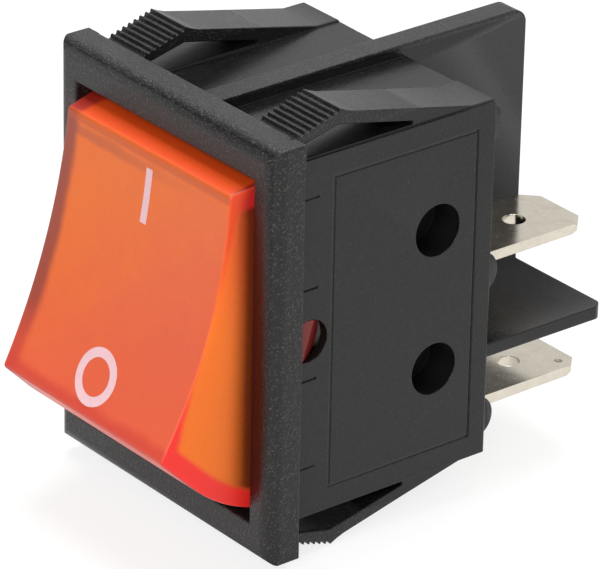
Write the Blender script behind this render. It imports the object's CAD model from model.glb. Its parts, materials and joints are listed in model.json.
"""Panel rocker switch: finishes, printed marks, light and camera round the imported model."""
import json
import math

import bmesh
import bpy
from mathutils import Matrix, Vector

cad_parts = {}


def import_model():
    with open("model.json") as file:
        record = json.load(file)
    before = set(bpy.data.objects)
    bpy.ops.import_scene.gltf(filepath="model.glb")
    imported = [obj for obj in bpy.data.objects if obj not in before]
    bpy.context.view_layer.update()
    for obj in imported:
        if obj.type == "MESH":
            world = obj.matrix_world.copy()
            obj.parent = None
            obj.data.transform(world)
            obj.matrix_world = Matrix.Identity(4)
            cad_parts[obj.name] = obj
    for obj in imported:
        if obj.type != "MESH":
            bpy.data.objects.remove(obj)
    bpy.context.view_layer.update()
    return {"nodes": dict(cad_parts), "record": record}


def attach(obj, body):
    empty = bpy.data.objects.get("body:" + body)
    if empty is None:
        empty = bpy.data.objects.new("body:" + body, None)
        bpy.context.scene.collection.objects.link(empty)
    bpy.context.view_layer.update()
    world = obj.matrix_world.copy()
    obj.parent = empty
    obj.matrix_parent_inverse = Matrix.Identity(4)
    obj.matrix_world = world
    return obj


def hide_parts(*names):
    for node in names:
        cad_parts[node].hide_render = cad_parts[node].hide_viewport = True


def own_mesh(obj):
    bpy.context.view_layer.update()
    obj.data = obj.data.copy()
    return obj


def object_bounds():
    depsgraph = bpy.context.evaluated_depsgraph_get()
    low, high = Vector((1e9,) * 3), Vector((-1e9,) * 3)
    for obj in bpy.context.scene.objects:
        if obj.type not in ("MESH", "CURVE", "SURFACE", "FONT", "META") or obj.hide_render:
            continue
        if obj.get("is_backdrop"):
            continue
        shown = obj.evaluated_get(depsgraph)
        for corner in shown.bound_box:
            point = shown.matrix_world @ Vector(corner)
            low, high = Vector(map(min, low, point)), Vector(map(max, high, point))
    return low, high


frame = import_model()

MM = 0.001
NODES = frame["nodes"]


# ---- Places and sizes taken from the frame -------------------------------------------------

def mm(*values):
    """A point given in millimetres, in metres."""
    return Vector(values) * MM


def joint(name):
    """A joint's row in the record."""
    return next(j for j in frame["record"]["behaviour"]["joints"] if j["name"] == name)


TILT_JOINT = joint("rocker_tilt")
PIVOT = Vector(TILT_JOINT["pos_m"])
TILT = math.radians(TILT_JOINT["range_deg"][1] / 2)
# From the rocker's own frame (axis at the origin, face towards -Y) to where it rests
ROCKER = Matrix.Translation(PIVOT) @ Matrix.Rotation(-TILT, 4, "X")

# The rocker's shape in its own frame, in millimetres, as in the CAD
BASE_HALF = 9.95          # half width at the axis
END_R = 12.95             # radius of the round ends
END_BEND = 6.4            # distance from the axis at which the ends turn straight
END_KINK = 2.0            # degrees short of tangent
END_EDGE_R = 0.35         # rounding between an end and the face
FACE_Y = 8.06             # from the axis to the middle of the hollow face
FACE_R = 45.0
FACE_DRAFT = 0.7          # the sides curve in by this much over the draft length
DRAFT_LEN = 6.0
DRAFT_START = FACE_Y + 1.5 - DRAFT_LEN
SKIRT_Y = 0.2             # rear edge of the skirt
WALL = 1.4
SIDE_EDGE_R = 0.22        # rounding between the sides and the face
STUD_R = 1.55
STUD_END = 10.9
STUD_RAMP = 1.0

# The marks on the rocker's face, in its own frame: across it and up it
ON_X, ON_FOOT, ON_LENGTH, ON_STROKE = 0.46, 4.65, 3.99, 0.68
OFF_X, OFF_Z, OFF_R, OFF_STROKE = 0.09, -6.98, 1.76, 0.72
INK_RAISE = 0.015
INK_DEPTH = 0.02          # how far the ink's edge is let into the face

# The housing, in millimetres, as in the CAD
BEZEL_W, BEZEL_H, BEZEL_T = 25.0, 32.0, 2.75
BEZEL_EDGE_R = 1.2
CORNER_R = 1.5
BODY_HALF_W = 10.95       # to a side face
CORE_HOLE_Y = 13.2        # core holes in the side faces
CORE_HOLE_Z = (5.3, -5.6)
CORE_HOLE_R = 2.0
RELIEF_D = 0.2            # pockets behind the legs, too shallow to be seen, which are filled here
LEG_FOOT_Z = 14.8         # the legs and their pockets are further out than this
# As the moulding shows them
CORNER_SHOWN_R = 0.15
HOUSING_EDGE = 0.11 * MM  # rounding of its moulded edges

# Punch marks near the ends of the lower tabs
PUNCH_X, PUNCH_Y, PUNCH_R = 7.9, 27.86, 0.3
LOWER_TABS_TOP = -10.65


# ---- Nodes and colours ---------------------------------------------------------------------

def linear(hex_colour):
    """sRGB hex to the linear colour that the shaders take."""
    parts = [int(hex_colour[i:i + 2], 16) / 255 for i in (1, 3, 5)]
    return [c / 12.92 if c <= 0.04045 else ((c + 0.055) / 1.055) ** 2.4 for c in parts] + [1.0]


def add(tree, kind, *values, output=None, **named):
    """Adds a node and gives its output of that name, or its first. The values are numbers, colours
    or other nodes' outputs, and go to its inputs in order. A name with a capital is an input, and
    any other is a setting."""
    node = tree.nodes.new(kind if "Node" in kind else "ShaderNode" + kind)
    for name, value in named.items():
        if name[0].islower():
            setattr(node, name, value)
    given = list(zip([s for s in node.inputs if s.enabled], values))
    given += [(node.inputs[name.replace("_", " ")], value) for name, value in named.items()
              if name[0].isupper()]
    for socket, value in given:
        if isinstance(value, bpy.types.NodeSocket):
            tree.links.new(value, socket)
        else:
            socket.default_value = value
    return node.outputs[output] if output else next((s for s in node.outputs if s.enabled), None)


def fade(tree, value, start, end):
    """0 before start, 1 after end, and smooth between them, whichever is the larger."""
    rise = add(tree, "MapRange", value, min(start, end), max(start, end),
               interpolation_type="SMOOTHERSTEP")
    return add(tree, "Math", 1.0, rise, operation="SUBTRACT") if start > end else rise


def band(tree, value, centre, half, soft):
    """1 within half of centre, fading to 0 over soft."""
    off = add(tree, "Math", value, centre, operation="SUBTRACT")
    return fade(tree, add(tree, "Math", off, operation="ABSOLUTE"), half + soft, half)


def times(tree, first, *others):
    """Where every mask holds, or a value scaled."""
    for other in others:
        first = add(tree, "Math", first, other, operation="MULTIPLY")
    return first


def largest(tree, first, *others):
    """Where any mask holds."""
    for other in others:
        first = add(tree, "Math", first, other, operation="MAXIMUM")
    return first


def distance(tree, a, b, place=(0.0, 0.0)):
    """Distance from a place in a plane."""
    off = add(tree, "CombineXYZ", add(tree, "Math", a, place[0], operation="SUBTRACT"),
              add(tree, "Math", b, place[1], operation="SUBTRACT"))
    return add(tree, "VectorMath", off, operation="LENGTH")


def in_mm(tree):
    """Object coordinates in millimetres."""
    at = add(tree, "TexCoord", output="Object")
    return add(tree, "VectorMath", at, 1 / MM, operation="SCALE")


def rocker_frame(tree):
    """Coordinates in the rocker's own frame, in millimetres."""
    turned = add(tree, "VectorRotate", add(tree, "TexCoord", output="Object"), PIVOT, Angle=TILT,
                 rotation_type="X_AXIS")
    off = add(tree, "VectorMath", turned, PIVOT, operation="SUBTRACT")
    return add(tree, "VectorMath", off, 1 / MM, operation="SCALE")


def rocker_facing(tree):
    """The surface's direction in the rocker's own frame."""
    return add(tree, "VectorRotate", add(tree, "TexCoord", output="Normal"), Angle=TILT,
               rotation_type="X_AXIS")


def material(name):
    """An empty material and its node tree."""
    m = bpy.data.materials.new(name)
    m.use_nodes = True
    m.node_tree.nodes.clear()
    return m, m.node_tree


# ---- Materials: each noise's scale is one over the size of its blots in millimetres ---------

def black_polyamide():
    """Housing: black polyamide. The mould is spark-eroded for the bezel, the barrier's edge and,
    more finely, the legs, which leaves a glittering grain. The rest is milled and polished."""
    m, t = material("black_polyamide_spark_eroded")
    at = in_mm(t)
    x, y, z = add(t, "SeparateXYZ", at).node.outputs
    wide = add(t, "Math", x, operation="ABSOLUTE")
    high = add(t, "Math", z, operation="ABSOLUTE")
    bezel = fade(t, y, 0.2, -0.05)
    barrier_edge = times(t, fade(t, z, 14.3, 14.6), fade(t, wide, 1.3, 1.1))
    legs = times(t, fade(t, high, 15.0, 15.2), 0.8)
    grained = largest(t, bezel, barrier_edge, legs, 0.22)
    # Grain: craters of the eroded mould, with finer pitting, and crests that catch the light. It is
    # rubbed smoother beside the rocker, and warmed there by the light that the rocker gives off
    craters = add(t, "TexNoise", at, Scale=1 / 0.17, Detail=2.0, Roughness=0.6)
    pits = add(t, "TexNoise", at, Scale=1 / 0.09, Detail=2.0, Roughness=0.6)
    crests = times(t, fade(t, craters, 0.5, 0.68), fade(t, pits, 0.4, 0.6))
    beside = times(t, fade(t, wide, 12.0, 11.1), fade(t, y, -2.4, -2.7), fade(t, high, 13.0, 10.0),
                   0.9)
    relief = add(t, "Math", times(t, craters, 1.6), times(t, pits, 0.7), operation="ADD")
    relief = times(t, grained, add(t, "Mix", beside, 1.0, 0.7), relief)
    rounded = add(t, "Bevel", Radius=0.1 * MM, samples=6)
    normal = add(t, "Bump", Height=relief, Distance=0.034 * MM, Normal=rounded)
    # Milling and handling marks on the plain faces: slow, streaky changes of tone and gloss
    streaked = add(t, "VectorMath", at, (1.0, 0.5, 1.0), operation="MULTIPLY")
    flow = add(t, "TexNoise", streaked, Scale=1 / 1.6, Detail=5.0, Roughness=0.65)
    base = add(t, "Mix", flow, linear("#0B0B0B"), linear("#161414"), data_type="RGBA")
    base = add(t, "Mix", times(t, crests, grained), base, linear("#4E4A48"), data_type="RGBA")
    base = add(t, "Mix", beside, base, linear("#380A07"), data_type="RGBA")
    # The pits between the legs and the barrier are polished, and mirror the dark walls round them
    pit = times(t, fade(t, y, 10.0, 1.5), fade(t, y, 0.0, 0.15), fade(t, high, 10.6, 10.9),
                fade(t, high, 14.2, 13.7), fade(t, wide, BODY_HALF_W - 0.08, BODY_HALF_W - 0.15))
    # No light comes back out of the core holes in the sides
    holes = largest(t, *(fade(t, distance(t, y, z, (CORE_HOLE_Y, height)), CORE_HOLE_R + 0.3,
                              CORE_HOLE_R + 0.2) for height in CORE_HOLE_Z))
    holes = times(t, holes, fade(t, wide, BODY_HALF_W - 0.1, BODY_HALF_W - 0.35))
    base = add(t, "Mix", holes, base, linear("#020202"), data_type="RGBA")
    rough = add(t, "Math", add(t, "Mix", grained, 0.2, 0.28), times(t, flow, 0.1), operation="ADD")
    rough = add(t, "Mix", largest(t, pit, times(t, beside, 0.9)), rough, 0.13)
    rough = add(t, "Mix", holes, rough, 0.6)
    add(t, "OutputMaterial", add(t, "BsdfPrincipled", Base_Color=base, Roughness=rough,
                                 Normal=normal, Specular_IOR_Level=0.36))
    return m


def tinted_polycarbonate():
    """Rocker: translucent orange polycarbonate over a white reflector. It glows where the
    reflector is close behind, and is a deep red where only its own walls are seen."""
    m, t = material("orange_polycarbonate_translucent")
    here = rocker_frame(t)
    x, y, z = add(t, "SeparateXYZ", here).node.outputs
    high = add(t, "Math", z, operation="ABSOLUTE")
    across, _, up = add(t, "SeparateXYZ", rocker_facing(t)).node.outputs
    on_side = fade(t, add(t, "Math", across, operation="ABSOLUTE"), 0.45, 0.85)
    on_end = fade(t, add(t, "Math", up, operation="ABSOLUTE"), 0.5, 0.9)
    cloud = add(t, "TexNoise", here, Scale=1 / 2.4, Detail=3.0, Roughness=0.6)
    # Wavers the borders seen through the wall
    waver = times(t, add(t, "Math", cloud, 0.5, operation="SUBTRACT"), 1.2)

    def wavering(value, share):
        return add(t, "Math", value, times(t, waver, share), operation="ADD")

    # Face: yellower at its middle left, pinker towards its lower end
    drift = add(t, "Math", times(t, z, 0.045), times(t, x, -0.03), operation="ADD")
    drift = fade(t, add(t, "Math", drift, times(t, cloud, 0.4), operation="ADD"), -0.35, 0.85)
    face = add(t, "Mix", drift, linear("#D2593A"), linear("#DE6A22"), data_type="RGBA")
    # The near wall hides the reflector along the left edge and behind the ends of the face
    wall = add(t, "Mix", fade(t, z, -3.0, -8.5), linear("#86362C"), linear("#BC3E2E"),
               data_type="RGBA")
    left = times(t, fade(t, wavering(x, 0.3), -7.5, -8.7), 0.88)
    face = add(t, "Mix", left, face, wall, data_type="RGBA")
    shade = times(t, band(t, wavering(z, 0.5), 8.6, 0.12, 0.5), fade(t, x, 9.0, -7.0), 0.45)
    face = add(t, "Mix", shade, face, linear("#96402E"), data_type="RGBA")
    tip = times(t, fade(t, z, 8.9, 9.4), 0.6)
    face = add(t, "Mix", tip, face, linear("#B0481E"), data_type="RGBA")
    low = times(t, fade(t, wavering(z, 0.8), -8.4, -9.4), 0.75)
    face = add(t, "Mix", low, face, linear("#C23C30"), data_type="RGBA")
    # Ends: bright where the light comes through, red at the wall's corner
    end = add(t, "Mix", fade(t, z, -2.0, 2.0), linear("#E24A34"), linear("#D44814"),
              data_type="RGBA")
    corner = times(t, largest(t, fade(t, wavering(x, 0.5), -7.6, -8.4), fade(t, x, 9.0, 9.4)), 0.85)
    end = add(t, "Mix", corner, end, linear("#8E1A1A"), data_type="RGBA")
    # Sides: the reflector shows inside a red border, which follows the round ends and then their
    # straight parts
    circle = distance(t, y, z)
    straight = add(t, "Math", times(t, high, 0.886), times(t, y, 0.463), operation="SUBTRACT")
    reach = add(t, "Mix", fade(t, y, -5.6, -6.4), circle, straight)
    inside = times(t, fade(t, wavering(y, 0.3), -8.45, -7.75), fade(t, reach, 11.8, 11.2))
    rim = add(t, "Mix", fade(t, z, -9.0, 0.0), linear("#E02A22"), linear("#CE400C"),
              data_type="RGBA")
    glow = add(t, "Mix", fade(t, z, 8.0, -2.0), linear("#E05A10"), linear("#E06A10"),
               data_type="RGBA")
    side = add(t, "Mix", inside, rim, glow, data_type="RGBA")
    top_corner = times(t, fade(t, z, 8.4, 9.3), fade(t, y, -6.2, -7.4), 0.85)
    red = add(t, "Mix", fade(t, y, -8.6, -7.4), linear("#D0401E"), linear("#AE1822"),
              data_type="RGBA")
    side = add(t, "Mix", top_corner, side, red, data_type="RGBA")
    colour = add(t, "Mix", on_end, face, end, data_type="RGBA")
    colour = add(t, "Mix", on_side, colour, side, data_type="RGBA")
    out = add(t, "Math", x, operation="ABSOLUTE")
    stud = times(t, fade(t, circle, STUD_R + 0.25, STUD_R + 0.15),
                 fade(t, out, BASE_HALF - 0.05, BASE_HALF + 0.05))
    colour = add(t, "Mix", stud, colour, linear("#741A16"), data_type="RGBA")
    # No light comes through the sides where the housing stands close
    lit_side = times(t, on_side, add(t, "Math", 1.0, stud, operation="SUBTRACT"))
    open_air = add(t, "AmbientOcclusion", Distance=5.0 * MM, samples=8, output="AO")
    deep = times(t, fade(t, open_air, 0.92, 0.58), lit_side, add(t, "Mix", inside, 0.15, 1.0), 0.9)
    colour = add(t, "Mix", deep, colour, linear("#40100A"), data_type="RGBA")
    # Moulded skin: satin, with a faint orange-peel and fine dust-like pits
    peel = add(t, "TexNoise", here, Scale=1 / 1.6, Detail=2.0, Roughness=0.5)
    pits = add(t, "TexNoise", here, Scale=1 / 0.12, Detail=2.0, Roughness=0.5)
    dust = add(t, "TexNoise", here, Scale=1 / 0.2, Detail=1.0, Roughness=0.5)
    skin = add(t, "Math", times(t, peel, 0.4), times(t, pits, 0.35), operation="ADD")
    normal = add(t, "Bump", Height=skin, Distance=0.006 * MM)
    speck = times(t, fade(t, dust, 0.6, 0.74), 0.16)
    colour = add(t, "Mix", speck, colour, linear("#B84828"), data_type="RGBA")
    rough = add(t, "Math", 0.34, times(t, pits, 0.1), operation="ADD")
    # The light that comes through the walls: a little everywhere, and more at the sides
    through = add(t, "Math", 0.1, times(t, fade(t, z, -8.0, 6.0), 0.14), operation="ADD")
    through = add(t, "Math", 0.05, times(t, lit_side, through), operation="ADD")
    add(t, "OutputMaterial", add(
        t, "BsdfPrincipled", Base_Color=colour, Roughness=rough, Normal=normal,
        Specular_IOR_Level=0.4, Subsurface_Weight=0.25, Subsurface_Radius=(1.0, 0.25, 0.08),
        Subsurface_Scale=0.6 * MM, Emission_Color=colour, Emission_Strength=through))
    return m


def print_ink():
    """Marks: white ink, pad-printed, through which the orange shows a little."""
    m, t = material("white_ink_pad_printed")
    here = rocker_frame(t)
    thin = add(t, "TexNoise", here, Scale=1 / 0.25, Detail=3.0, Roughness=0.6)
    grit = add(t, "TexNoise", here, Scale=1 / 0.1, Detail=2.0, Roughness=0.5)
    colour = add(t, "Mix", thin, linear("#D8ACB2"), linear("#E6C2C8"), data_type="RGBA")
    normal = add(t, "Bump", Height=grit, Distance=0.004 * MM)
    add(t, "OutputMaterial", add(t, "BsdfPrincipled", Base_Color=colour, Roughness=0.5,
                                 Normal=normal))
    return m


def nickel_plate():
    """Tabs: nickel-plated brass strip, bright, with rolling lines along its length, and a little
    tarnish and handling wear."""
    m, t = material("nickel_plated_brass_strip")
    at = in_mm(t)
    x, y, z = add(t, "SeparateXYZ", at).node.outputs
    rolled = add(t, "VectorMath", at, (1.0, 0.04, 1.0), operation="MULTIPLY")
    lines = add(t, "TexNoise", rolled, Scale=1 / 0.12, Detail=3.0, Roughness=0.6)
    tarnish = add(t, "TexNoise", at, Scale=1 / 1.1, Detail=5.0, Roughness=0.7)
    spots = add(t, "TexNoise", at, Scale=1 / 0.28, Detail=2.0, Roughness=0.5)
    spots = fade(t, spots, 0.62, 0.74)
    colour = add(t, "Mix", tarnish, linear("#C2BAAA"), linear("#E4DDD0"), data_type="RGBA")
    colour = add(t, "Mix", times(t, spots, 0.35), colour, linear("#A89C88"), data_type="RGBA")
    worn = add(t, "Math", times(t, tarnish, 0.16), times(t, spots, 0.12), operation="ADD")
    rough = add(t, "Math", 0.08, worn, operation="ADD")
    # The punch marks near the ends of the lower tabs are left matt by the punch
    from_punch = distance(t, add(t, "Math", x, operation="ABSOLUTE"), y, (PUNCH_X, PUNCH_Y))
    punched = times(t, fade(t, from_punch, PUNCH_R + 0.04, PUNCH_R),
                    fade(t, z, LOWER_TABS_TOP + 0.65, LOWER_TABS_TOP + 0.15))
    rough = add(t, "Mix", punched, rough, 0.75)
    rounded = add(t, "Bevel", Radius=0.06 * MM, samples=6)
    relief = add(t, "Math", times(t, lines, 0.6), times(t, tarnish, 0.5), operation="ADD")
    normal = add(t, "Bump", Height=relief, Distance=0.004 * MM, Normal=rounded)
    add(t, "OutputMaterial", add(t, "BsdfPrincipled", Base_Color=colour, Metallic=1.0,
                                 Roughness=rough, Normal=normal))
    return m


def plastic(name, light, dark, rough):
    """Moulded plastic with a faint cloud in its colour and a fine skin."""
    m, t = material(name)
    at = in_mm(t)
    cloud = add(t, "TexNoise", at, Scale=1 / 2.5, Detail=3.0, Roughness=0.55)
    skin = add(t, "TexNoise", at, Scale=1 / 0.15, Detail=2.0, Roughness=0.5)
    colour = add(t, "Mix", cloud, linear(dark), linear(light), data_type="RGBA")
    rough = add(t, "Math", rough, times(t, cloud, 0.1), operation="ADD")
    normal = add(t, "Bump", Height=skin, Distance=0.006 * MM)
    add(t, "OutputMaterial", add(t, "BsdfPrincipled", Base_Color=colour, Roughness=rough,
                                 Normal=normal))
    return m


def metal(name, light, dark, rough, lines):
    """Drawn, rolled or coined metal: lines is how its fine marks are stretched."""
    m, t = material(name)
    at = in_mm(t)
    worked = add(t, "VectorMath", at, lines, operation="MULTIPLY")
    marks = add(t, "TexNoise", worked, Scale=1 / 0.1, Detail=3.0, Roughness=0.6)
    cloud = add(t, "TexNoise", at, Scale=1 / 1.5, Detail=3.0, Roughness=0.6)
    colour = add(t, "Mix", cloud, linear(dark), linear(light), data_type="RGBA")
    rough = add(t, "Math", rough, times(t, marks, 0.12), operation="ADD")
    normal = add(t, "Bump", Height=marks, Distance=0.004 * MM)
    add(t, "OutputMaterial", add(t, "BsdfPrincipled", Base_Color=colour, Metallic=1.0,
                                 Roughness=rough, Normal=normal))
    return m


def lamp_glass():
    """Neon lamp: soda glass, with the two wire electrodes as a grey shade inside it."""
    m, t = material("soda_glass")
    x = add(t, "SeparateXYZ", rocker_frame(t), output="X")
    lamp_x, electrode_x = -1.05, 0.8
    off = add(t, "Math", x, lamp_x, operation="SUBTRACT")
    rods = band(t, add(t, "Math", off, operation="ABSOLUTE"), electrode_x, 0.25, 0.15)
    colour = add(t, "Mix", times(t, rods, 0.8), linear("#F3E7DE"), linear("#8C8680"),
                 data_type="RGBA")
    add(t, "OutputMaterial", add(t, "BsdfPrincipled", Base_Color=colour, Roughness=0.06,
                                 Transmission_Weight=0.5, IOR=1.5))
    return m


def resistor_lacquer():
    """Series resistor: tan lacquer over the ceramic, with its colour rings."""
    m, t = material("resistor_lacquer_with_rings")
    z = add(t, "SeparateXYZ", rocker_frame(t), output="Z")
    colour = linear("#C49A68")
    for place, ring in ((4.0, "#7A4A22"), (4.9, "#D8A018"), (5.8, "#C8B030"), (7.6, "#B08A30")):
        colour = add(t, "Mix", band(t, z, place, 0.22, 0.06), colour, linear(ring),
                     data_type="RGBA")
    add(t, "OutputMaterial", add(t, "BsdfPrincipled", Base_Color=colour, Roughness=0.32,
                                 Coat_Weight=0.4))
    return m


FINISH = {
    "black_plastic": black_polyamide(),
    "orange_lens": tinted_polycarbonate(),
    "white_plastic": plastic("white_polycarbonate_reflector", "#EFEDE8", "#E0DDD6", 0.4),
    "lamp_glass": lamp_glass(),
    "resistor_body": resistor_lacquer(),
    "tinned_wire": metal("tinned_copper_wire", "#D4D2CC", "#B8B5AE", 0.28, (1.0, 1.0, 0.2)),
    "natural_plastic": plastic("natural_acetal", "#F0ECDD", "#E4DFCC", 0.3),
    "spring_steel": metal("drawn_spring_wire", "#B4B4B6", "#8E8E92", 0.26, (1.0, 1.0, 1.0)),
    "copper_strip": metal("rolled_copper_strip", "#D69A74", "#BE805C", 0.3, (1.0, 0.05, 0.05)),
    "contact_silver": metal("coined_silver", "#E2E0DA", "#CFCCC4", 0.24, (1.0, 1.0, 1.0)),
    "plated_brass": nickel_plate(),
}
INK = print_ink()
SLOT_OF = {s["node"]: s["material_slot"] for s in frame["record"]["subparts"]}
for name, obj in NODES.items():
    obj.data.materials.clear()
    obj.data.materials.append(FINISH[SLOT_OF[name]])


# ---- Mesh helpers --------------------------------------------------------------------------

WELD = 0.001 * MM         # vertices closer than this are one
TOUCH = 0.0001 * MM       # what is closer than this touches


def piece(name, bm, finish, body, replaces=None, smooth=math.radians(30)):
    """A new piece from a bmesh, on its body, with its finish and its node."""
    bmesh.ops.recalc_face_normals(bm, faces=bm.faces)
    mesh = bpy.data.meshes.new(name)
    bm.to_mesh(mesh)
    bm.free()
    mesh.materials.append(finish)
    mesh.shade_smooth()
    mesh.set_sharp_from_angle(angle=smooth)
    o = bpy.data.objects.new(name, mesh)
    bpy.context.collection.objects.link(o)
    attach(o, body)
    if replaces:
        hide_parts(replaces)
    return o


def grid(bm, rows):
    """Quads between rows of vertices."""
    for a, b in zip(rows, rows[1:]):
        for i in range(len(a) - 1):
            bm.faces.new((a[i], a[i + 1], b[i + 1], b[i]))


# ---- Housing -------------------------------------------------------------------------------

def can_round(edge):
    """Outward corners that are sharp and long enough, and whose faces are wide enough, to be
    rounded."""
    least_angle, least_length, least_width = math.radians(40), 0.9 * MM, 4 * HOUSING_EDGE
    if len(edge.link_faces) != 2 or not edge.is_convex:
        return False
    if edge.calc_face_angle() < least_angle or edge.calc_length() < least_length:
        return False
    start = edge.verts[0].co
    along = (edge.verts[1].co - start).normalized()
    for face in edge.link_faces:
        away = [v.co - start for v in face.verts]
        if max((a - along * a.dot(along)).length for a in away) < least_width:
            return False
    return True


def tighter(across, up, depth):
    """A point of a bezel corner, from the corner's centre, moved out to the tighter corner."""
    past = max(0.0, -(BEZEL_T - BEZEL_EDGE_R) - depth)
    inset = BEZEL_EDGE_R - math.sqrt(max(0.0, BEZEL_EDGE_R ** 2 - past ** 2))
    angle = math.atan2(up, across)
    run, rise = math.cos(angle), math.sin(angle)
    reach = min((CORNER_R - inset) / max(run, 1e-9), (CORNER_R - inset) / max(rise, 1e-9))
    centre = CORNER_R - CORNER_SHOWN_R
    if reach * run > centre and reach * rise > centre:
        along = centre * (run + rise)
        reach = min(reach, along + math.sqrt(along ** 2 - 2 * centre ** 2 + CORNER_SHOWN_R ** 2))
    return reach * run, reach * rise


def tighten_corners(bm):
    """Cuts each bezel corner finely and moves it out to the tighter radius."""
    depths = (0.6, 1.2, 1.55, 1.75, 1.95, 2.15, 2.35)  # closer together on the rounded edge
    turns = (42, 43.5, 45, 46.5, 48)  # degrees, close together at the tighter corner
    x0, z0 = BEZEL_W / 2 - CORNER_R, BEZEL_H / 2 - CORNER_R
    for sx in (-1, 1):
        for sz in (-1, 1):
            def place(v):
                return v.co.x * sx / MM - x0, v.co.z * sz / MM - z0, v.co.y / MM

            def is_corner(v):
                a, b, depth = place(v)
                return (a > -0.01 and b > -0.01 and -BEZEL_T - 0.01 < depth < 0.01
                        and abs(math.hypot(a, b) - CORNER_R) < 0.02)

            planes = [((0, -y, 0), (0, 1, 0)) for y in depths]
            for degrees in turns:
                a = math.radians(degrees)
                planes.append(((sx * x0, 0, sz * z0), (-sx * math.sin(a), 0, sz * math.cos(a))))
            for at, normal in planes:
                faces = [f for f in bm.faces if all(is_corner(v) for v in f.verts)]
                geom = faces + list({e for f in faces for e in f.edges})
                geom += list({v for f in faces for v in f.verts})
                bmesh.ops.bisect_plane(bm, geom=geom, dist=TOUCH, plane_co=mm(*at), plane_no=normal)
            for v in bm.verts:
                if is_corner(v):
                    a, b, depth = place(v)
                    a, b = tighter(a, b, depth)
                    v.co.x, v.co.z = sx * (x0 + a) * MM, sz * (z0 + b) * MM


def fill_reliefs(bm):
    """Brings the floors of the pockets behind the legs up to the bezel's rear face."""
    for v in bm.verts:
        if abs(v.co.z) > LEG_FOOT_Z * MM and abs(v.co.y + RELIEF_D * MM) < 0.01 * MM:
            v.co.y = 0
    bmesh.ops.remove_doubles(bm, verts=bm.verts, dist=WELD)
    bmesh.ops.dissolve_degenerate(bm, dist=WELD, edges=bm.edges)


def housing_moulding():
    """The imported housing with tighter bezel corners, no pockets, and rounded edges."""
    bm = bmesh.new()
    bm.from_mesh(NODES["housing"].data)
    bmesh.ops.remove_doubles(bm, verts=bm.verts, dist=WELD)
    fill_reliefs(bm)
    bmesh.ops.dissolve_limit(bm, angle_limit=0.002, verts=bm.verts, edges=bm.edges)
    tighten_corners(bm)
    bmesh.ops.bevel(bm, geom=[e for e in bm.edges if can_round(e)], offset=HOUSING_EDGE,
                    segments=2, profile=0.5, affect="EDGES", clamp_overlap=False)
    o = piece("housing_moulding", bm, FINISH["black_plastic"], "housing",
              "housing", math.radians(35))
    flat = o.modifiers.new("flat faces stay flat", "WEIGHTED_NORMAL")
    flat.keep_sharp = True


# ---- Rocker --------------------------------------------------------------------------------

def half_width(y):
    """Half the rocker's width at a depth, in its own frame."""
    into = max(0.0, -DRAFT_START - y)
    radius = (DRAFT_LEN ** 2 + FACE_DRAFT ** 2) / (2 * FACE_DRAFT)
    return BASE_HALF - (radius - math.sqrt(radius ** 2 - into ** 2))


def end_profile(inset):
    """Side view from the skirt's edge to the middle of the face, in Y and Z."""
    r = END_R - inset
    bend = math.asin(END_BEND / END_R)
    slope = bend - math.radians(END_KINK)
    edge_r = max(END_EDGE_R - inset, 0.02)
    first = math.asin(-SKIRT_Y / r)
    points = [(-r * math.sin(a), r * math.cos(a))
              for a in (first + (bend - first) * i / 16 for i in range(17))]
    out = (-math.sin(slope), math.cos(slope))
    run = (-math.cos(slope), -math.sin(slope))
    depth = END_R * math.cos(math.radians(END_KINK)) - inset - edge_r
    centre_y = FACE_Y + FACE_R
    q = (out[0] * depth + centre_y, out[1] * depth)
    dot = q[0] * run[0] + q[1] * run[1]
    reach = -dot - math.sqrt(dot ** 2 - q[0] ** 2 - q[1] ** 2 + (FACE_R + inset + edge_r) ** 2)
    mid = (out[0] * depth + run[0] * reach, out[1] * depth + run[1] * reach)
    a0 = math.atan2(out[1], out[0])
    a1 = math.atan2(-mid[1], -mid[0] - centre_y) % (2 * math.pi)
    start, tip = points[-1], (mid[0] + edge_r * out[0], mid[1] + edge_r * out[1])
    points += [(start[0] + (tip[0] - start[0]) * k / 6, start[1] + (tip[1] - start[1]) * k / 6)
               for k in range(1, 6)]
    points += [(mid[0] + edge_r * math.cos(a), mid[1] + edge_r * math.sin(a))
               for a in (a0 + (a1 - a0) * k / 8 for k in range(9))]
    top = points[-1][1]
    for k in range(1, 25):
        z = top * (1 - k / 24)
        points.append((-centre_y + math.sqrt((FACE_R + inset) ** 2 - z * z), z))
    return points


def profile(inset):
    """The whole side view, from the skirt's edge over the face to the skirt's other edge."""
    half = end_profile(inset)
    return half + [(y, -z) for y, z in reversed(half[:-1])]


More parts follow.
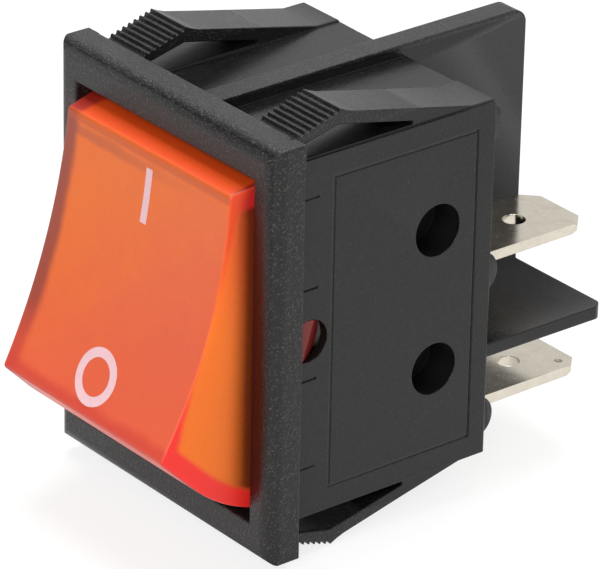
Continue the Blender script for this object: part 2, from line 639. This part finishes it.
def rocker_skin(bm, inset, edge_r):
    """The face, the ends and both sides, and the loop of vertices round the open back."""
    def vertex(x, y, z):
        return bm.verts.new(ROCKER @ (Vector((x, y, z)) * MM))

    steps = 6 if edge_r else 0
    across = 16
    outline = profile(inset)
    last = len(outline) - 1
    back = [(SKIRT_Y, outline[0][1] * (1 - 2 * i / last)) for i in range(last + 1)]
    tread = []
    for y, z in outline:
        half = half_width(y) - inset - edge_r
        tread.append([vertex(half * (2 * k / across - 1), y, z) for k in range(across + 1)])
    grid(bm, tread)
    loops = {}
    for side in (-1, 1):
        rows = [[row[0 if side < 0 else -1] for row in tread]]
        for k in range(1, steps + 1):
            turn = math.pi / 2 * k / steps
            ring = profile(inset + edge_r * (1 - math.cos(turn)))
            drop = inset + edge_r * (1 - math.sin(turn))
            rows.append([vertex(side * (half_width(y) - drop), y, z) for y, z in ring])
        rim = profile(inset + edge_r)
        for k in range(1, 9):
            share = (k / 8) ** 1.2
            row = []
            for (y0, z0), (y1, z1) in zip(rim, back):
                y, z = y0 + (y1 - y0) * share, z0 + (z1 - z0) * share
                row.append(vertex(side * (half_width(y) - inset), y, z))
            rows.append(row)
        grid(bm, rows)
        loops[side] = rows
    # Round the open back: down the right side, across the bottom, up the left, and back
    right, left = loops[1], loops[-1]
    bottom = [r[-1] for r in reversed(right[:-1])] + list(reversed(tread[-1][1:-1]))
    bottom += [r[-1] for r in left[:-1]]
    top = [r[0] for r in reversed(left[:-1])] + tread[0][1:-1] + [r[0] for r in right[:-1]]
    return right[-1] + bottom + list(reversed(left[-1])) + top


def stud(side):
    """Pivot stud with a rounded rim, and the ramp over which it snaps into the housing."""
    length, rounding = 2.4 * MM, 0.1 * MM
    bm = bmesh.new()
    bmesh.ops.create_cone(bm, cap_ends=True, segments=64, radius1=STUD_R * MM,
                          radius2=STUD_R * MM, depth=length)
    for v in bm.verts:
        v.co = Vector((v.co.z + STUD_END * MM - length / 2, v.co.y, v.co.x))
    ridge = Vector((STUD_END * MM, 0.0, 0.0))
    lean = Vector((STUD_R, STUD_RAMP, 0.0)).normalized()
    cut = bmesh.ops.bisect_plane(bm, geom=bm.verts[:] + bm.edges[:] + bm.faces[:],
                                 plane_co=ridge, plane_no=lean, clear_outer=True)
    edges = [e for e in cut["geom_cut"] if isinstance(e, bmesh.types.BMEdge)]
    ramp = bmesh.ops.edgeloop_fill(bm, edges=edges)["faces"][0]
    bmesh.ops.bevel(bm, geom=ramp.edges[:], offset=rounding, segments=3, profile=0.5,
                    affect="EDGES", clamp_overlap=True)
    for v in bm.verts:
        v.co = ROCKER @ Vector((side * v.co.x, v.co.y, v.co.z))
    mesh = bpy.data.meshes.new("stud")
    bm.to_mesh(mesh)
    bm.free()
    return mesh


def rocker_moulding():
    """The hollow rocker with its studs, as one skin outside, one inside and a rim at the back."""
    bm = bmesh.new()
    outer = rocker_skin(bm, 0.0, SIDE_EDGE_R)
    inner = rocker_skin(bm, WALL, 0.0)
    rim_faces = []
    # The rear rim joins the two skins: each outer vertex to the nearest inner one in order
    j = 0
    total_in, total_out = len(inner), len(outer)
    for i in range(total_out):
        goal = round((i + 1) * total_in / total_out)
        a, b = outer[i], outer[(i + 1) % total_out]
        while j < goal:
            rim_faces.append((inner[j % total_in], inner[(j + 1) % total_in], a))
            j += 1
        rim_faces.append((a, b, inner[j % total_in]))
    for tri in rim_faces:
        if len(set(tri)) == 3:
            bm.faces.new(tri)
    bmesh.ops.recalc_face_normals(bm, faces=bm.faces)
    for side in (-1, 1):
        bm.from_mesh(stud(side))
    piece("rocker_moulding", bm, FINISH["orange_lens"], "rocker", "rocker_lens")


def plunger_spring(side):
    """The spring's turns close up towards its fixed end as its plunger slides in."""
    name = "plunger_spring_" + side
    bm = bmesh.new()
    bm.from_mesh(NODES[name].data)
    bmesh.ops.remove_doubles(bm, verts=bm.verts, dist=TOUCH)
    o = piece("coil_" + side, bm, FINISH["spring_steel"], "rocker", name)
    slide = joint("plunger_slide_" + side)
    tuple(slide["axis"])
    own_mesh(o)


# ---- Marks ---------------------------------------------------------------------------------

def ink_tree():
    """Geometry Nodes: a flat path in millimetres becomes a stroke of ink on the hollow face. The
    path's X is across the face and its Y is up the face."""
    t = bpy.data.node_groups.new("ink_on_the_face", "GeometryNodeTree")
    t.interface.new_socket("Geometry", in_out="OUTPUT", socket_type="NodeSocketGeometry")
    t.interface.new_socket("Path", in_out="INPUT", socket_type="NodeSocketGeometry")
    for name in ("Stroke", "Raise", "Face depth", "Face radius"):
        t.interface.new_socket(name, in_out="INPUT", socket_type="NodeSocketFloat")
    t.interface.new_socket("Ink", in_out="INPUT", socket_type="NodeSocketMaterial")
    given = add(t, "NodeGroupInput").node.outputs
    path = add(t, "GeometryNodeMeshToCurve", given["Path"])
    path = add(t, "GeometryNodeSetCurveNormal", path, mode="Z_UP")
    half = add(t, "Math", given["Stroke"], 2.0, operation="DIVIDE")
    across = add(t, "GeometryNodeCurvePrimitiveLine",
                 Start=add(t, "CombineXYZ", times(t, half, -1.0)), End=add(t, "CombineXYZ", half))
    stroke = add(t, "GeometryNodeCurveToMesh", path, across)
    # Lay it on the face, which is part of a cylinder about the X axis
    x, up, _ = add(t, "SeparateXYZ", add(t, "GeometryNodeInputPosition")).node.outputs
    radius = given["Face radius"]
    rise = add(t, "Math", add(t, "Math", radius, 2.0, operation="POWER"),
               add(t, "Math", up, 2.0, operation="POWER"), operation="SUBTRACT")
    axis = add(t, "Math", given["Face depth"], radius, operation="ADD")
    depth = add(t, "Math", add(t, "Math", rise, operation="SQRT"), axis, operation="SUBTRACT")
    depth = add(t, "Math", depth, given["Raise"], operation="SUBTRACT")
    laid = add(t, "GeometryNodeSetPosition", stroke, Position=add(t, "CombineXYZ", x, depth, up))
    whole = add(t, "GeometryNodeRealizeInstances", laid)
    add(t, "NodeGroupOutput", add(t, "GeometryNodeSetMaterial", whole, Material=given["Ink"]))
    return t


def printed(name, points, closed, stroke):
    """A mark along a path, as a plain mesh with its ink's edge let into the face."""
    count = len(points)
    edges = [(i, (i + 1) % count) for i in range(count if closed else count - 1)]
    mesh = bpy.data.meshes.new(name + "_path")
    mesh.from_pydata([(x, z, 0) for x, z in points], edges, [])
    path = bpy.data.objects.new(name + "_path", mesh)
    bpy.context.collection.objects.link(path)
    lay = path.modifiers.new("ink", "NODES")
    lay.node_group = INK_TREE
    sockets = {i.name: i.identifier for i in INK_TREE.interface.items_tree}
    for socket, value in (("Stroke", stroke), ("Raise", INK_RAISE), ("Face depth", FACE_Y),
                          ("Face radius", FACE_R), ("Ink", INK)):
        lay[sockets[socket]] = value
    graph = bpy.context.evaluated_depsgraph_get()
    plain = bpy.data.meshes.new_from_object(path.evaluated_get(graph), depsgraph=graph)
    bpy.data.objects.remove(path)
    bm = bmesh.new()
    bm.from_mesh(plain)
    sunk = bmesh.ops.extrude_face_region(bm, geom=bm.faces[:])["geom"]
    for v in sunk:
        if isinstance(v, bmesh.types.BMVert):
            v.co.y += INK_RAISE + INK_DEPTH
    # Extruding leaves them in a different order at each run
    slant = Vector((1.0, math.e, math.pi))
    bm.verts.sort(key=lambda v: v.co.dot(slant))
    bm.faces.sort(key=lambda f: f.calc_center_median().dot(slant))
    bmesh.ops.transform(bm, matrix=ROCKER @ Matrix.Scale(MM, 4), verts=bm.verts)
    piece(name, bm, INK, "rocker")


INK_TREE = ink_tree()
housing_moulding()
rocker_moulding()
plunger_spring("left")
plunger_spring("right")
printed("mark_on", [(ON_X, ON_FOOT + ON_LENGTH * k / 16) for k in range(17)], False, ON_STROKE)
printed("mark_off", [(OFF_X + OFF_R * math.cos(a), OFF_Z + OFF_R * math.sin(a))
                     for a in (2 * math.pi * k / 96 for k in range(96))], True, OFF_STROKE)


# ---- Floor, light and camera ---------------------------------------------------------------

def floor():
    """A pale floor just under the part. The camera, gloss and glass see it white, with the part's
    soft shadow, and it lights the part as a mid grey."""
    size = 3.0
    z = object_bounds()[0][2] - 0.2 * MM
    mesh = bpy.data.meshes.new("floor")
    mesh.from_pydata([(-size, -size, z), (size, -size, z), (size, size, z), (-size, size, z)], [],
                     [(0, 1, 2, 3)])
    o = bpy.data.objects.new("floor", mesh)
    bpy.context.collection.objects.link(o)
    m, t = material("pale_floor")
    path = add(t, "LightPath").node.outputs
    seen = largest(t, path["Is Camera Ray"], path["Is Glossy Ray"], path["Is Transmission Ray"])
    matt = add(t, "BsdfDiffuse", linear("#B4B4B2"))
    pale = add(t, "AddShader", add(t, "BsdfDiffuse", linear("#7C7C7B")),
               add(t, "Emission", Color=linear("#FFFFFF"), Strength=0.8))
    add(t, "OutputMaterial", add(t, "MixShader", seen, matt, pale))
    mesh.materials.append(m)
    o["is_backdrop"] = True


def area_light(name, at, aim, size, power):
    data = bpy.data.lights.new(name, "AREA")
    data.shape = "DISK"
    data.size = size
    data.energy = power
    o = bpy.data.objects.new(name, data)
    o.location = at
    o.rotation_euler = (Vector(aim) - Vector(at)).to_track_quat("-Z", "Y").to_euler()
    bpy.context.collection.objects.link(o)


def camera():
    """The camera looks back along +X and -Y, from a little above."""
    azimuth, elevation, roll = (math.radians(a) for a in (50.909, 25.904, 1.210))
    distance = 0.3664
    aim = mm(1.65, 9.92, -0.05)
    back = Vector((math.sin(azimuth) * math.cos(elevation),
                   -math.cos(azimuth) * math.cos(elevation), math.sin(elevation)))
    data = bpy.data.cameras.new("camera")
    data.sensor_width = 36
    data.lens = 307.4
    data.shift_x = -0.0285
    data.shift_y = -0.0337
    data.clip_start = 0.01
    o = bpy.data.objects.new("camera", data)
    turn = (-back).to_track_quat("-Z", "Y").to_matrix() @ Matrix.Rotation(roll, 3, "Z")
    o.matrix_world = Matrix.Translation(aim + back * distance) @ turn.to_4x4()
    bpy.context.collection.objects.link(o)
    bpy.context.scene.camera = o


def world():
    """A white studio behind the part, and a darker room on the side it is looked at from. It is
    plain white to the camera and through glass, and gloss shows it white behind the part."""
    w = bpy.data.worlds.new("studio")
    w.use_nodes = True
    w.node_tree.nodes.clear()
    t = w.node_tree
    path = add(t, "LightPath").node.outputs
    way = add(t, "VectorMath", add(t, "TexCoord", output="Generated"), (-0.2, 0.9, 0.38),
              operation="DOT_PRODUCT")
    behind = fade(t, way, -0.2, 0.7)
    light = add(t, "Mix", behind, 0.26, 0.72)
    gloss = add(t, "Mix", behind, 0.25, 0.85)
    plain = largest(t, path["Is Camera Ray"], path["Is Transmission Ray"])
    strength = add(t, "Mix", plain, add(t, "Mix", path["Is Glossy Ray"], light, gloss), 1.0)
    add(t, "OutputWorld", add(t, "Background", linear("#FFFFFF"), strength))
    bpy.context.scene.world = w


floor()
world()
area_light("overhead", mm(-60, 60, 440), mm(0, 8, 0), 0.3, 2.15)
area_light("front", mm(300, -330, 219), mm(0, 0, 0), 0.3, 1.85)
camera()
bpy.context.scene.view_settings.view_transform = "Standard"
